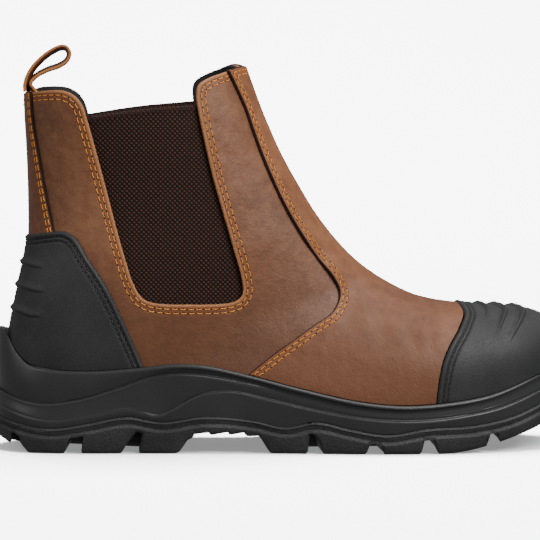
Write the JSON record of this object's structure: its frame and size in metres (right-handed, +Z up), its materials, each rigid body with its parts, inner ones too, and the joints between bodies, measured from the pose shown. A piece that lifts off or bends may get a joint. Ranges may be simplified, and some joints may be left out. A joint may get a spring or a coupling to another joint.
{
  "type": "side gore work boot",
  "caption": "Ankle-high slip-on leather work boot with elastic side panels, moulded toe and heel guards, a pull loop and a lugged rubber sole.",
  "frame": {"origin": "on the floor, under the middle of the boot's box", "axes": "+X along the boot to the toe, +Z up, -Y to the outer side of the right foot"},
  "size_m": [0.3146, 0.109, 0.2123],
  "materials": {
    "quarter_leather": "oiled full-grain leather, darker at the heel",
    "vamp_leather": "oiled full-grain leather, warm brown with orange edges",
    "guard_rubber": "moulded, fine matt grain",
    "elastic": "dark brown ribbed elastic",
    "footbed": "matt grey textile",
    "midsole_rubber": "smooth satin black",
    "outsole_rubber": "grainy matt black"
  },
  "bodies": {
    "root": {"upper": "quarter_leather", "vamp": "vamp_leather", "backstay": "quarter_leather", "pull_loop": "vamp_leather", "toe_cap": "guard_rubber", "heel_counter": "guard_rubber", "gore_outer": "elastic", "gore_inner": "elastic", "insole": "footbed", "midsole": "midsole_rubber", "outsole": "outsole_rubber"}
  },
  "joints": []
}
